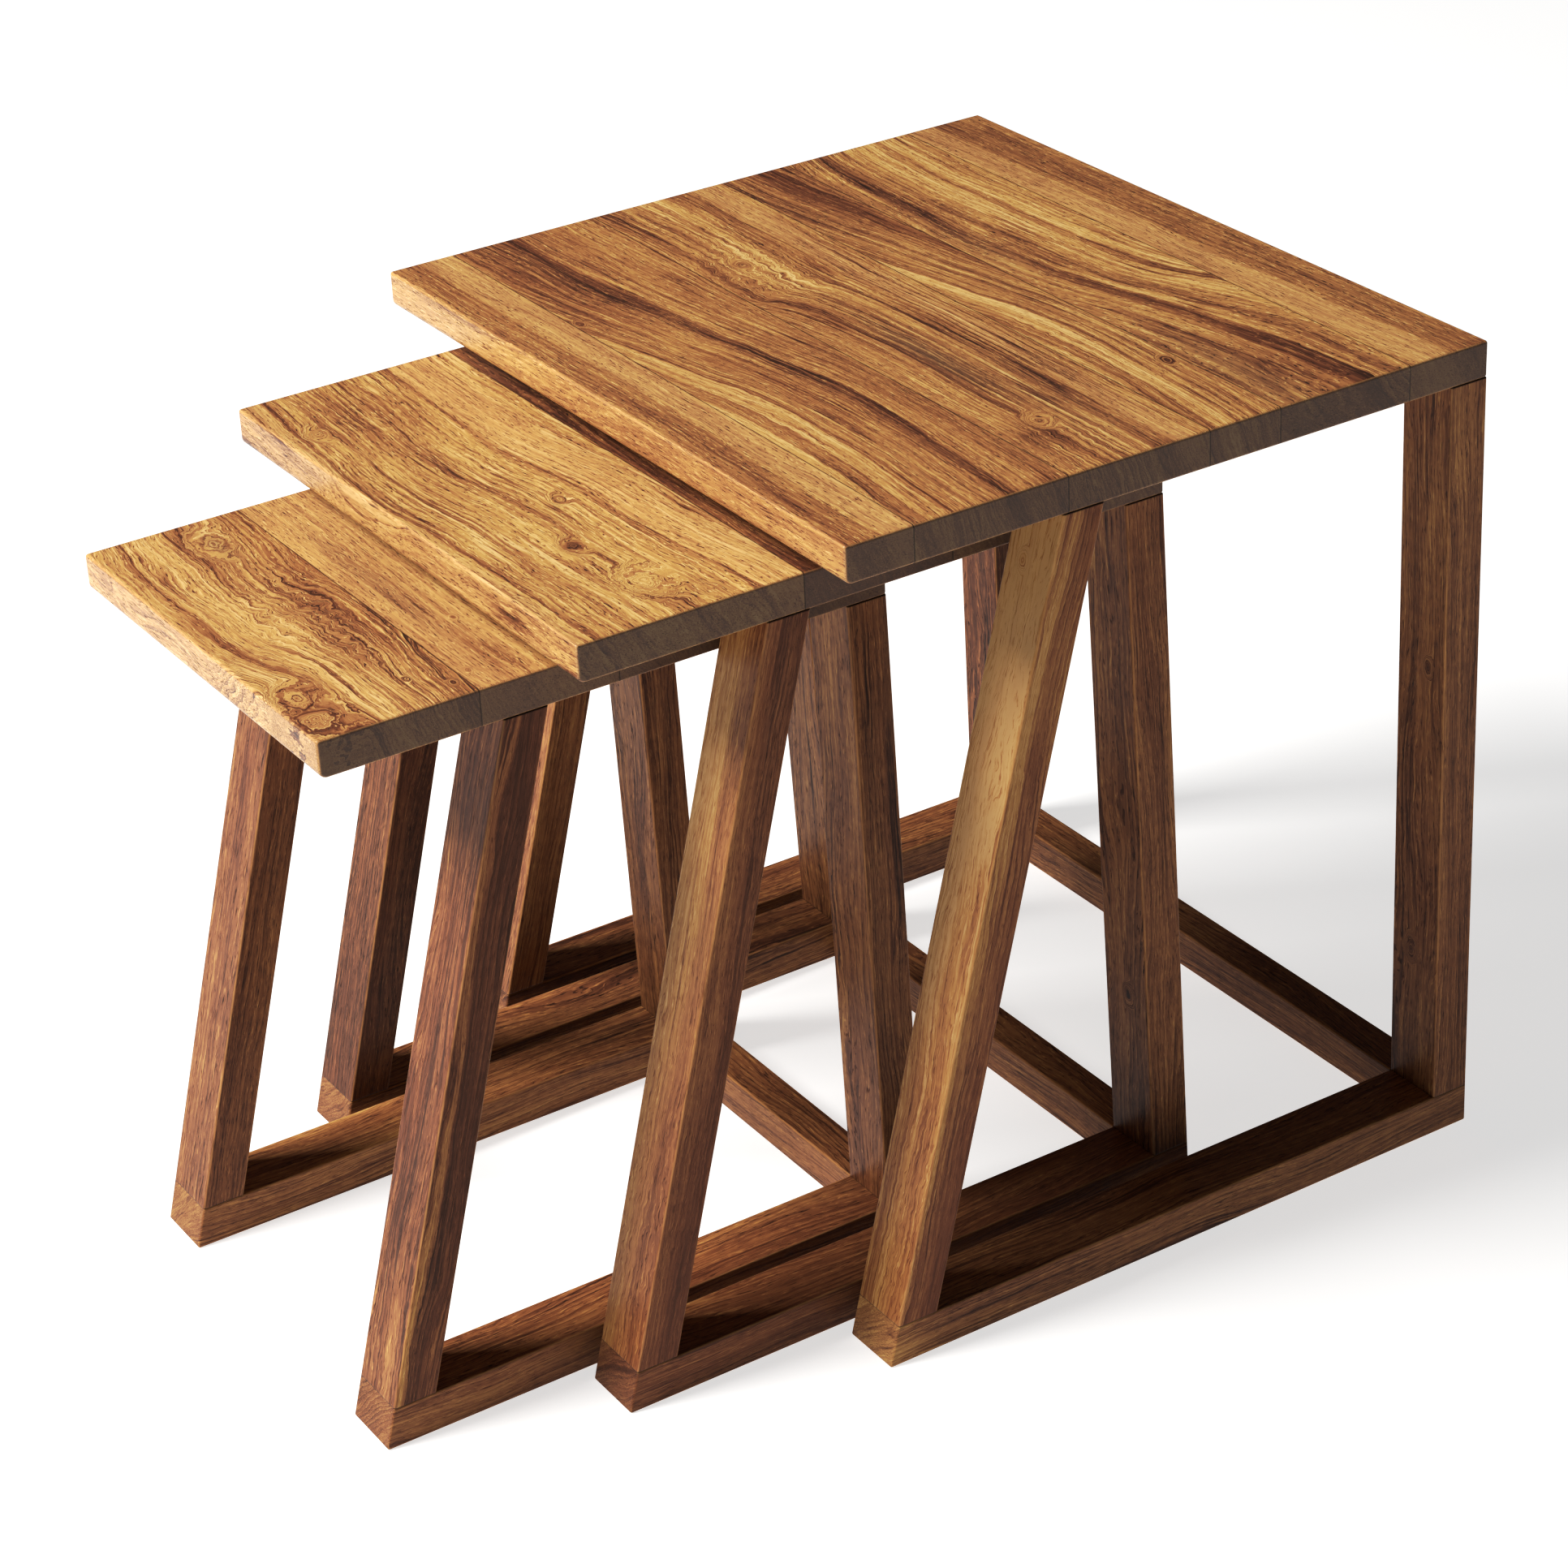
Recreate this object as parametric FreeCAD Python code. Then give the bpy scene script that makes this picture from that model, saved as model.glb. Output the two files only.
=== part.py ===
"""Set of three nesting tables in solid wood, standing staggered on a floor.

Frame: +Z up, the floor at Z = 0, the tables' fronts towards -Y, +X to the right seen from the front.
The origin is on the floor at the centre of the whole set's footprint. Millimetres.
Each table has a top of edge-glued boards on two side frames. A side frame is a bottom rail, a slanted
front leg and a nearly upright back leg. One stretcher joins the two rails at the back, so the front of
each table is open and the next smaller one slides in under its top.
"""

import FreeCAD, Part
import math
import os

# Overall sizes of the large table
LARGE_HEIGHT = 560.0
LARGE_WIDTH = 530.0
LARGE_DEPTH = 465.0
MIDDLE_DEPTH = 404.0
SMALL_DEPTH = 376.0

# Timber sections
TOP_THICKNESS = 24.0
BAR_WIDTH = 44.0
BAR_THICKNESS = 28.0

# Clearances between one table and the next smaller one
HEAD_CLEARANCE = 15.0
SIDE_CLEARANCE = 12.0

# How far each smaller table's front edge stands forward of the one that it nests in
MIDDLE_PULLED_OUT = 141.0
SMALL_PULLED_OUT = 135.0

# Eased edges; each top's front is rounded more below than above
TOP_EASING = 2.0
TOP_FRONT_ROUNDING = 5.0
BAR_EASING = 1.5

# Dowels: two per joint, in glued holes a little wider and deeper than the dowel
DOWEL_RADIUS = 4.0
DOWEL_GLUE_GAP = 0.1
DOWEL_END_GAP = 1.0
DOWEL_IN_TOP = 14.0
DOWEL_IN_RAIL = 12.0
DOWEL_IN_LEG = 22.0
DOWEL_IN_STRETCHER = 20.0
DOWEL_SIDE_INTO_RAIL = 24.0
LEG_DOWEL_SPACING = 20.0
STRETCHER_DOWEL_SPACING = 12.0
STRETCHER_DOWEL_HEIGHT = 8.0

TOLERANCE = 0.01
UP = FreeCAD.Vector(0, 0, 1)
DOWN = FreeCAD.Vector(0, 0, -1)
SIDES = (("right", 1.0), ("left", -1.0))


class Table:
    """One table's sizes and the lines that its side frames follow.

    front_foot is how far the front foot stands behind the top's front edge, front_lean the slant of the
    front leg in degrees, and back_foot how far the back foot stands out behind the top's back edge.
    board_shares are the boards' widths from front to back, as parts of the depth.
    """

    def __init__(self, name, width, depth, height, front_foot, front_lean, back_foot, board_shares):
        self.name = name
        self.width = width
        self.depth = depth
        self.height = height
        self.front_foot = front_foot
        self.front_slope = math.tan(math.radians(front_lean))
        self.back_foot = back_foot
        self.board_shares = board_shares
        self.front = 0.0

    def underside(self):
        return self.height - TOP_THICKNESS

    def back(self):
        return self.front + self.depth

    def inner_half_width(self):
        return self.width / 2 - BAR_WIDTH

    def bar_centre_x(self):
        return self.width / 2 - BAR_WIDTH / 2

    def front_line(self, z):
        """Y of the front leg's and rail's front face at height z."""
        return self.front + self.front_foot + self.front_slope * z

    def back_line(self, z):
        """Y of the back leg's and rail's back face at height z."""
        return self.back() + self.back_foot * (1 - z / self.underside())

    def front_leg_run(self):
        """Front leg's thickness measured level, along Y."""
        return BAR_THICKNESS * math.hypot(1.0, self.front_slope)

    def stretcher_back(self):
        return self.back_line(BAR_THICKNESS)

    def is_seam(self, y):
        """Whether y lies between two boards of the top, away from its front and back."""
        return self.front + TOLERANCE < y < self.back() - TOLERANCE


def ease(shape, radius, is_eased):
    """Rounds the edges of shape whose middle point and direction pass the test is_eased."""
    chosen = []
    for edge in shape.Edges:
        start, end = edge.Vertexes[0].Point, edge.Vertexes[-1].Point
        direction = (end - start).normalize()
        if is_eased(edge.CenterOfMass, direction):
            chosen.append(edge)
    return shape.makeFillet(radius, chosen)


def side_profile_bar(outline_yz, side, table):
    """Closed YZ outline given the width of a bar along X, flush with the table's side."""
    x_low = side * table.bar_centre_x() - BAR_WIDTH / 2
    points = [FreeCAD.Vector(x_low, y, z) for y, z in outline_yz]
    face = Part.Face(Part.makePolygon(points + points[:1]))
    return face.extrude(FreeCAD.Vector(BAR_WIDTH, 0, 0))


def dowel_hole(point, direction, depth):
    return Part.makeCylinder(DOWEL_RADIUS + DOWEL_GLUE_GAP, depth + DOWEL_END_GAP, point, direction)


def dowel(point, direction, depth_ahead, depth_behind):
    """Dowel through the joint plane at point, reaching depth_ahead along direction."""
    start = point - direction * depth_behind
    return Part.makeCylinder(DOWEL_RADIUS, depth_ahead + depth_behind, start, direction)


def leg_joint_points(table, side, z, y_middle):
    """The two dowel points of one leg joint, side by side along X."""
    return [
        FreeCAD.Vector(side * table.bar_centre_x() + offset, y_middle, z)
        for offset in (-LEG_DOWEL_SPACING / 2, LEG_DOWEL_SPACING / 2)
    ]


def leg_end_points(table, side, z):
    """Dowel points of the front and the back leg of one side frame at height z."""
    front_middle = table.front_line(z) + table.front_leg_run() / 2
    back_middle = table.back_line(z) - BAR_THICKNESS / 2
    front_points = leg_joint_points(table, side, z, front_middle)
    back_points = leg_joint_points(table, side, z, back_middle)
    return front_points, back_points


def stretcher_joint_points(table, side):
    y_middle = table.stretcher_back() - BAR_THICKNESS / 2
    return [
        FreeCAD.Vector(side * table.inner_half_width(), y_middle + offset, STRETCHER_DOWEL_HEIGHT)
        for offset in (-STRETCHER_DOWEL_SPACING / 2, STRETCHER_DOWEL_SPACING / 2)
    ]


def drill(shape, points, direction, depth):
    for point in points:
        shape = shape.cut(dowel_hole(point, direction, depth))
    return shape


def front_leg(table, side):
    low, high = BAR_THICKNESS, table.underside()
    run = table.front_leg_run()
    outline = [
        (table.front_line(low), low),
        (table.front_line(low) + run, low),
        (table.front_line(high) + run, high),
        (table.front_line(high), high),
    ]
    shape = side_profile_bar(outline, side, table)
    shape = ease(shape, BAR_EASING, lambda middle, direction: abs(direction.z) > 0.5)
    shape = drill(shape, leg_end_points(table, side, high)[0], DOWN, DOWEL_IN_LEG)
    return drill(shape, leg_end_points(table, side, low)[0], UP, DOWEL_IN_LEG)


def back_leg(table, side):
    low, high = BAR_THICKNESS, table.underside()
    outline = [
        (table.back_line(low) - BAR_THICKNESS, low),
        (table.back_line(low), low),
        (table.back_line(high), high),
        (table.back_line(high) - BAR_THICKNESS, high),
    ]
    shape = side_profile_bar(outline, side, table)
    shape = ease(shape, BAR_EASING, lambda middle, direction: abs(direction.z) > 0.5)
    shape = drill(shape, leg_end_points(table, side, high)[1], DOWN, DOWEL_IN_LEG)
    return drill(shape, leg_end_points(table, side, low)[1], UP, DOWEL_IN_LEG)


def rail(table, side):
    """Bottom rail, its ends cut on the slants of the two legs that stand on it."""
    outline = [
        (table.front_line(0), 0),
        (table.back_line(0), 0),
        (table.back_line(BAR_THICKNESS), BAR_THICKNESS),
        (table.front_line(BAR_THICKNESS), BAR_THICKNESS),
    ]
    shape = side_profile_bar(outline, side, table)

    def is_eased(middle, direction):
        at_leg_joint = middle.z > BAR_THICKNESS - 1 and abs(direction.x) > 0.5
        return not at_leg_joint

    shape = ease(shape, BAR_EASING, is_eased)
    for points in leg_end_points(table, side, BAR_THICKNESS):
        shape = drill(shape, points, DOWN, DOWEL_IN_RAIL)
    outward = FreeCAD.Vector(side, 0, 0)
    return drill(shape, stretcher_joint_points(table, side), outward, DOWEL_SIDE_INTO_RAIL)


def stretcher(table):
    corner = FreeCAD.Vector(-table.inner_half_width(), table.stretcher_back() - BAR_THICKNESS, 0)
    shape = Part.makeBox(2 * table.inner_half_width(), BAR_THICKNESS, BAR_THICKNESS, corner)
    shape = ease(shape, BAR_EASING, lambda middle, direction: abs(direction.x) > 0.5)
    for _, side in SIDES:
        inward = FreeCAD.Vector(-side, 0, 0)
        shape = drill(shape, stretcher_joint_points(table, side), inward, DOWEL_IN_STRETCHER)
    return shape


def top_board(table, y_low, y_high):
    """One board of the top, eased only along the outer edges of the whole top."""
    corner = FreeCAD.Vector(-table.width / 2, y_low, table.underside())
    board = Part.makeBox(table.width, y_high - y_low, TOP_THICKNESS, corner)

    def is_front_bottom(middle, direction):
        at_front = abs(middle.y - table.front) < TOLERANCE
        return at_front and abs(middle.z - table.underside()) < TOLERANCE

    def is_outer(middle, direction):
        at_end = abs(abs(middle.x) - table.width / 2) < TOLERANCE
        at_seam = any(abs(middle.y - y) < TOLERANCE for y in (y_low, y_high) if table.is_seam(y))
        at_face = any(abs(middle.z - z) < TOLERANCE for z in (table.underside(), table.height))
        at_long_edge = any(abs(middle.y - y) < TOLERANCE for y in (table.front, table.back()))
        return not at_seam and (at_end or (at_face and at_long_edge))

    if not table.is_seam(y_low):
        board = ease(board, TOP_FRONT_ROUNDING, is_front_bottom)
    return ease(board, TOP_EASING, is_outer)


def top_boards(table):
    """The drilled boards of the top from front to back."""
    boards = []
    y_low = table.front
    for share in table.board_shares:
        y_high = y_low + table.depth * share / sum(table.board_shares)
        board = top_board(table, y_low, y_high)
        for _, side in SIDES:
            for points in leg_end_points(table, side, table.underside()):
                board = drill(board, points, UP, DOWEL_IN_TOP)
        boards.append(board)
        y_low = y_high
    return boards


def top_dowels(table):
    dowels = []
    for _, side in SIDES:
        for points in leg_end_points(table, side, table.underside()):
            dowels += [dowel(point, UP, DOWEL_IN_TOP, DOWEL_IN_LEG) for point in points]
    return Part.makeCompound(dowels)


def rail_dowels(table):
    dowels = []
    for _, side in SIDES:
        for points in leg_end_points(table, side, BAR_THICKNESS):
            dowels += [dowel(point, UP, DOWEL_IN_LEG, DOWEL_IN_RAIL) for point in points]
    return Part.makeCompound(dowels)


def stretcher_dowels(table):
    dowels = []
    for _, side in SIDES:
        outward = FreeCAD.Vector(side, 0, 0)
        for point in stretcher_joint_points(table, side):
            dowels.append(dowel(point, outward, DOWEL_SIDE_INTO_RAIL, DOWEL_IN_STRETCHER))
    return Part.makeCompound(dowels)


def table_nodes(table):
    """Every piece of one table, by node name."""
    nodes = {}
    for number, board in enumerate(top_boards(table), start=1):
        nodes[f"{table.name}_top_board_{number}"] = board
    for side_name, side in SIDES:
        nodes[f"{table.name}_front_leg_{side_name}"] = front_leg(table, side)
        nodes[f"{table.name}_back_leg_{side_name}"] = back_leg(table, side)
        nodes[f"{table.name}_rail_{side_name}"] = rail(table, side)
    nodes[f"{table.name}_stretcher"] = stretcher(table)
    nodes[f"{table.name}_top_dowels"] = top_dowels(table)
    nodes[f"{table.name}_rail_dowels"] = rail_dowels(table)
    nodes[f"{table.name}_stretcher_dowels"] = stretcher_dowels(table)
    return nodes


def nesting_set():
    """The three tables, each placed in front of the last as the set stands at rest."""
    height_step = TOP_THICKNESS + HEAD_CLEARANCE
    width_step = 2 * (BAR_WIDTH + SIDE_CLEARANCE)
    large = Table(
        "large", LARGE_WIDTH, LARGE_DEPTH, LARGE_HEIGHT,
        front_foot=8.0, front_lean=14.7, back_foot=6.0, board_shares=(46, 106, 101, 52, 98, 61),
    )
    middle = Table(
        "middle", LARGE_WIDTH - width_step, MIDDLE_DEPTH, LARGE_HEIGHT - height_step,
        front_foot=-4.0, front_lean=14.4, back_foot=20.0, board_shares=(149, 102, 88, 65),
    )
    small = Table(
        "small", LARGE_WIDTH - 2 * width_step, SMALL_DEPTH, LARGE_HEIGHT - 2 * height_step,
        front_foot=-6.0, front_lean=14.9, back_foot=12.0, board_shares=(102, 90, 96, 88),
    )
    middle.front = large.front - MIDDLE_PULLED_OUT
    small.front = middle.front - SMALL_PULLED_OUT
    footprint_centre = (small.front_line(0) + large.back_line(0)) / 2
    for table in (large, middle, small):
        table.front -= footprint_centre
    return large, middle, small


def main():
    os.makedirs("parts", exist_ok=True)
    for table in nesting_set():
        for node, shape in table_nodes(table).items():
            shape.exportStep(f"parts/{node}.step")


main()
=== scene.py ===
import math
import random
from dataclasses import dataclass

import bpy
from mathutils import Matrix, Vector


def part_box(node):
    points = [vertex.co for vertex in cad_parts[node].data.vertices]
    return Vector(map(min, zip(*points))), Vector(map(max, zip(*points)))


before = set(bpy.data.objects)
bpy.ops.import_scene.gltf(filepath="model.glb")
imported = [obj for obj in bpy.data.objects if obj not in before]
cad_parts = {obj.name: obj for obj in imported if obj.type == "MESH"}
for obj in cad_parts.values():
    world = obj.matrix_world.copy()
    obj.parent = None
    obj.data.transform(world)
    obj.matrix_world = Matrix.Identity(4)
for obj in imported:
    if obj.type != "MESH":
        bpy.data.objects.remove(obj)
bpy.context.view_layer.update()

MM = 0.001

# ---------------------------------------------------------------- colours
# Linear colours. TONES runs from sheesham's near-black veins to its palest gold.
TONES = (
    (0.00, (0.022, 0.011, 0.008)),
    (0.20, (0.088, 0.034, 0.019)),
    (0.40, (0.198, 0.084, 0.038)),
    (0.60, (0.335, 0.166, 0.067)),
    (0.80, (0.475, 0.274, 0.096)),
    (1.00, (0.640, 0.435, 0.195)),
)
RED_BROWN = (0.205, 0.066, 0.029)
SAPWOOD = (0.500, 0.285, 0.130)
# Colour of the paler rounded edges: rubbed wear, and a painted highlight where they catch the
# light.
WORN_AND_HIGHLIT_EDGE = (0.560, 0.310, 0.130)
GLUE_LINE = (0.016, 0.008, 0.005)
GREY_STAIN = (0.110, 0.078, 0.050)
END_GRAIN = (0.085, 0.053, 0.038)
FLOOR_COLOUR = (0.60, 0.60, 0.60)
WHITE = (1.0, 1.0, 1.0)
KEY_COLOUR = (1.0, 0.98, 0.95)


# ---------------------------------------------------------------- node helpers
class Graph:
    """Short calls for building a node tree. Inputs are sockets, numbers or tuples."""

    def __init__(self, tree):
        self.tree = tree

    def node(self, kind, inputs=(), **settings):
        made = self.tree.nodes.new(kind)
        for name, value in settings.items():
            setattr(made, name, value)
        for key, value in dict(inputs).items():
            self.feed(made.inputs[key], value)
        return made

    def feed(self, socket, value):
        if isinstance(value, bpy.types.NodeSocket):
            self.tree.links.new(value, socket)
        else:
            socket.default_value = value

    def math(self, operation, *values, clamp=False):
        made = self.node("ShaderNodeMath", enumerate(values), operation=operation, use_clamp=clamp)
        return made.outputs[0]

    def add(self, *values):
        total = values[0]
        for value in values[1:]:
            total = self.math("ADD", total, value)
        return total

    def times(self, a, b):
        return self.math("MULTIPLY", a, b)

    def vector(self, operation, *values):
        made = self.node("ShaderNodeVectorMath", enumerate(values), operation=operation)
        return made.outputs["Value" if operation == "DOT_PRODUCT" else "Vector"]

    def combine(self, x, y, z):
        return self.node("ShaderNodeCombineXYZ", {"X": x, "Y": y, "Z": z}).outputs[0]

    def split(self, vector):
        return self.node("ShaderNodeSeparateXYZ", {"Vector": vector}).outputs

    def noise(self, vector, detail=1.0, roughness=0.5):
        """Noise of unit scale at vector, shifted to run from about -1 to 1."""
        inputs = {"Vector": vector, "Scale": 1.0, "Detail": detail, "Roughness": roughness}
        value = self.node("ShaderNodeTexNoise", inputs, noise_dimensions="3D").outputs["Fac"]
        return self.math("MULTIPLY_ADD", value, 2.0, -1.0)

    def rise(self, value, low, high):
        """Smooth step from 0 at low to 1 at high."""
        inputs = {"Value": value, "From Min": low, "From Max": high, "To Min": 0.0, "To Max": 1.0}
        return self.node("ShaderNodeMapRange", inputs, interpolation_type="SMOOTHSTEP").outputs[0]

    def fall(self, value, low, high):
        return self.math("SUBTRACT", 1.0, self.rise(value, low, high))

    def mix_colour(self, factor, a, b):
        made = self.tree.nodes.new("ShaderNodeMix")
        made.data_type = "RGBA"
        self.feed(made.inputs["Factor"], factor)
        for socket, value in ((made.inputs[6], a), (made.inputs[7], b)):
            self.feed(socket, (*value, 1.0) if isinstance(value, tuple) else value)
        return made.outputs[2]

    def ramp(self, value, stops):
        """Colour at value, blended between stops given as places and colours."""
        made = self.node("ShaderNodeValToRGB", {"Fac": value})
        elements = made.color_ramp.elements
        for _ in range(len(stops) - 2):
            elements.new(0.5)
        for element, (place, colour) in zip(elements, stops):
            element.position = place
            element.color = (*colour, 1.0)
        return made.outputs["Color"]

    def curve(self, value, points):
        """Smooth curve through points, whose places and values both run from 0 to 1."""
        made = self.node("ShaderNodeFloatCurve", {"Value": value})
        line = made.mapping.curves[0]
        for _ in range(len(points) - 2):
            line.points.new(0.5, 0.5)
        for point, place in zip(line.points, points):
            point.location = place
        made.mapping.update()
        return made.outputs[0]


def new_group(name, inputs, outputs):
    """An empty node group: its graph, the sockets that it is given and those that it fills."""
    group = bpy.data.node_groups.new(name, "ShaderNodeTree")
    for kind, label in inputs:
        group.interface.new_socket(label, in_out="INPUT", socket_type=kind)
    for kind, label in outputs:
        group.interface.new_socket(label, in_out="OUTPUT", socket_type=kind)
    graph = Graph(group)
    return graph, graph.node("NodeGroupInput").outputs, graph.node("NodeGroupOutput").inputs


FLOAT, VECTOR, COLOUR = "NodeSocketFloat", "NodeSocketVector", "NodeSocketColor"


# ---------------------------------------------------------------- wood
# Sizes are in millimetres. SEAM_CORE, SEAM_EDGE and BUMP_HEIGHT are in metres.
SEED_ALONG, SEED_ACROSS, SEED_RINGS = 7.31, 3.77, 5.3
RING_WIDTH = 4.4
RING_UNEVEN = 1.3
EARLY_FADE, LATE_FADE = 3.5, 5.0
FIBRE_LENGTH, FIBRES_PER_MM = 34.0, 0.62
PORE_LENGTH, PORES_PER_MM = 4.6, 1.25
RED_SPREAD = 0.36
TONE_KEPT_IN_RED = 0.35
KNOT_STRETCH = 0.62
KNOT_RAGGED = 0.55
KNOT_RING_SPREAD = 1.4
KNOT_RIM = 0.95
KNOT_RIM_DARK = 0.20
SEAM_STRENGTH = 0.75
SEAM_CORE, SEAM_EDGE = 0.00015, 0.0006
# Size and strength of the paler rounded edges, worn and with a painted highlight.
WEAR_AND_HIGHLIGHT_CORE, WEAR_AND_HIGHLIGHT_WIDTH = 0.2, 1.5
WEAR_AND_HIGHLIGHT_AMOUNT, WEAR_AND_HIGHLIGHT_SPREAD = 0.45, 0.6
FINISH_ROUGHNESS = 0.36
COAT_PER_GLOSS = 0.18
COAT_ROUGHNESS = 0.20
BUMP_STRENGTH = 0.6
BUMP_HEIGHT = 0.00012


def build_grain_group():
    """How far the grain wanders and curls at a point, in millimetres across the growth rings."""
    graph, given, result = new_group(
        "grain_lines",
        [(VECTOR, "Place"), (FLOAT, "Seed"), (FLOAT, "Wander"), (FLOAT, "Curl"), (FLOAT, "Ripple")],
        [(FLOAT, "Shift")],
    )
    place, seed = given["Place"], given["Seed"]
    seed_step = graph.combine(graph.times(seed, SEED_ALONG), graph.times(seed, SEED_ACROSS), seed)

    def drift(run, width, detail, amount):
        """Noise run mm long and width mm wide, times amount."""
        scaled = graph.vector("MULTIPLY", place, (1 / run, 1 / width, 1 / width))
        return graph.times(graph.noise(graph.vector("ADD", scaled, seed_step), detail), amount)

    shift = graph.add(
        drift(run=240.0, width=60.0, detail=1.0, amount=given["Wander"]),
        drift(run=55.0, width=20.0, detail=2.0, amount=given["Curl"]),
        drift(run=9.0, width=16.0, detail=2.0, amount=given["Ripple"]),
        drift(run=36.0, width=2.4, detail=2.0, amount=0.9),
    )
    graph.feed(result["Shift"], shift)
    return graph.tree


def build_sheesham_group():
    """Sheesham's colour, roughness and height at a place that is Across mm across the rings."""
    graph, given, result = new_group(
        "sheesham",
        [
            (VECTOR, "Place"), (FLOAT, "Across"), (FLOAT, "Tone"), (FLOAT, "Seed"),
            (FLOAT, "Bands"), (FLOAT, "Lines"), (FLOAT, "Veins"), (FLOAT, "Fine"),
            (FLOAT, "Red"), (FLOAT, "Pale"), (FLOAT, "Stain"), (FLOAT, "End"),
            (FLOAT, "End Dark"), (FLOAT, "Wear And Highlight"), (FLOAT, "Seam"),
        ],
        [(COLOUR, "Colour"), (FLOAT, "Roughness"), (FLOAT, "Height")],
    )
    place, across, seed = given["Place"], given["Across"], given["Seed"]
    along, _, depth = graph.split(place)

    def ring_noise(period, run, offset, detail):
        """Noise along the rings, period mm across them and run mm long, set apart by offset."""
        where = graph.combine(
            graph.add(graph.times(across, 1 / period), graph.times(seed, SEED_RINGS), offset),
            graph.times(along, 1 / run),
            graph.add(graph.times(depth, 0.3 / period), seed),
        )
        return graph.noise(where, detail, roughness=0.55)

    bands = ring_noise(period=11.0, run=300.0, offset=0.0, detail=2.0)
    streaks = ring_noise(period=3.6, run=150.0, offset=71.0, detail=2.0)
    hairlines = ring_noise(period=1.9, run=80.0, offset=29.0, detail=1.0)
    broad = ring_noise(period=34.0, run=330.0, offset=23.0, detail=1.0)
    hue = ring_noise(period=19.0, run=400.0, offset=67.0, detail=1.0)
    # Ring lines: dark where a ring starts, fading across it, and pale just before the next.
    # They are strong in some places and faint in others.
    uneven = ring_noise(period=12.0, run=260.0, offset=91.0, detail=1.0)
    ring = graph.math("MULTIPLY_ADD", uneven, RING_UNEVEN, graph.times(across, 1 / RING_WIDTH))
    through_ring = graph.math("FRACT", ring)
    early = graph.math("POWER", graph.math("SUBTRACT", 1.0, through_ring), EARLY_FADE)
    late = graph.math("POWER", through_ring, LATE_FADE)
    clearness = ring_noise(period=22.0, run=110.0, offset=51.0, detail=1.0)
    shown = graph.rise(clearness, low=-0.45, high=0.40)
    edges = graph.math("MULTIPLY_ADD", late, -0.5, early)
    lines = graph.times(graph.times(edges, shown), given["Lines"])

    def contours(period, run, offset, width, least, most):
        """Thin lines that follow the rings and come and go along them."""
        distance = graph.math("ABSOLUTE", ring_noise(period, run, offset, detail=1.0))
        clearness = ring_noise(2.2 * period, 0.4 * run, offset + 5.0, detail=1.0)
        shown = graph.rise(clearness, least, most)
        return graph.times(graph.fall(distance, 0.0, width), shown)

    veins = contours(period=20.0, run=900.0, offset=37.0, width=0.075, least=-0.1, most=0.4)
    veins = graph.times(veins, given["Veins"])
    dark_threads = contours(period=6.5, run=320.0, offset=44.0, width=0.075, least=-0.2, most=0.3)
    dark_threads = graph.times(dark_threads, given["Lines"])
    pale_threads = contours(period=7.7, run=260.0, offset=58.0, width=0.080, least=-0.1, most=0.4)
    pale_threads = graph.times(pale_threads, given["Lines"])
    fibre_place = graph.combine(
        graph.times(along, 1 / FIBRE_LENGTH),
        graph.times(across, FIBRES_PER_MM),
        graph.times(depth, FIBRES_PER_MM),
    )
    fibre = graph.noise(fibre_place, detail=3.0, roughness=0.75)
    mottle = graph.noise(graph.vector("MULTIPLY", place, (1 / 8, 1 / 26, 1 / 26)), detail=1.0)
    # Pores are shifted along each fibre by its own amount, so they don't line up across the grain.
    pore_shift = graph.add(
        graph.times(along, 1 / PORE_LENGTH),
        graph.times(fibre, 4.0),
        graph.times(hairlines, 3.0),
    )
    pore_place = graph.combine(
        pore_shift,
        graph.times(across, PORES_PER_MM),
        graph.times(depth, PORES_PER_MM),
    )
    pore_noise = graph.noise(pore_place, detail=0.0)
    pores = graph.rise(pore_noise, low=0.26, high=0.52)
    # Pale specks where the pore noise is lowest: painted glints, as of light caught in the pores.
    painted_glints = graph.rise(graph.math("MULTIPLY", pore_noise, -1.0), low=0.30, high=0.56)

    # Each kind of figure lightens or darkens the wood by its own weight.
    fine = graph.add(
        graph.times(hairlines, 0.24),
        graph.times(fibre, 0.25),
        graph.times(pores, -0.40),
        graph.times(painted_glints, 0.32),
    )
    tone = graph.add(
        given["Tone"],
        graph.times(bands, given["Bands"]),
        graph.times(broad, 0.15),
        graph.times(streaks, 0.13),
        graph.times(fine, given["Fine"]),
        graph.times(lines, -0.26),
        graph.times(veins, -0.32),
        graph.times(dark_threads, -0.27),
        graph.times(pale_threads, 0.20),
        graph.times(mottle, 0.055),
    )
    colour = graph.ramp(tone, TONES)
    redness = graph.math("MULTIPLY_ADD", hue, RED_SPREAD, given["Red"], clamp=True)
    red = graph.mix_colour(TONE_KEPT_IN_RED, RED_BROWN, colour)
    colour = graph.mix_colour(redness, colour, red)
    sap = graph.mix_colour(graph.rise(tone, low=0.15, high=0.75), colour, SAPWOOD)
    colour = graph.mix_colour(given["Pale"], colour, sap)
    colour = graph.mix_colour(given["Stain"], colour, GREY_STAIN)
    end_colour = graph.mix_colour(given["End Dark"], colour, END_GRAIN)
    colour = graph.mix_colour(given["End"], colour, end_colour)
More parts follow.
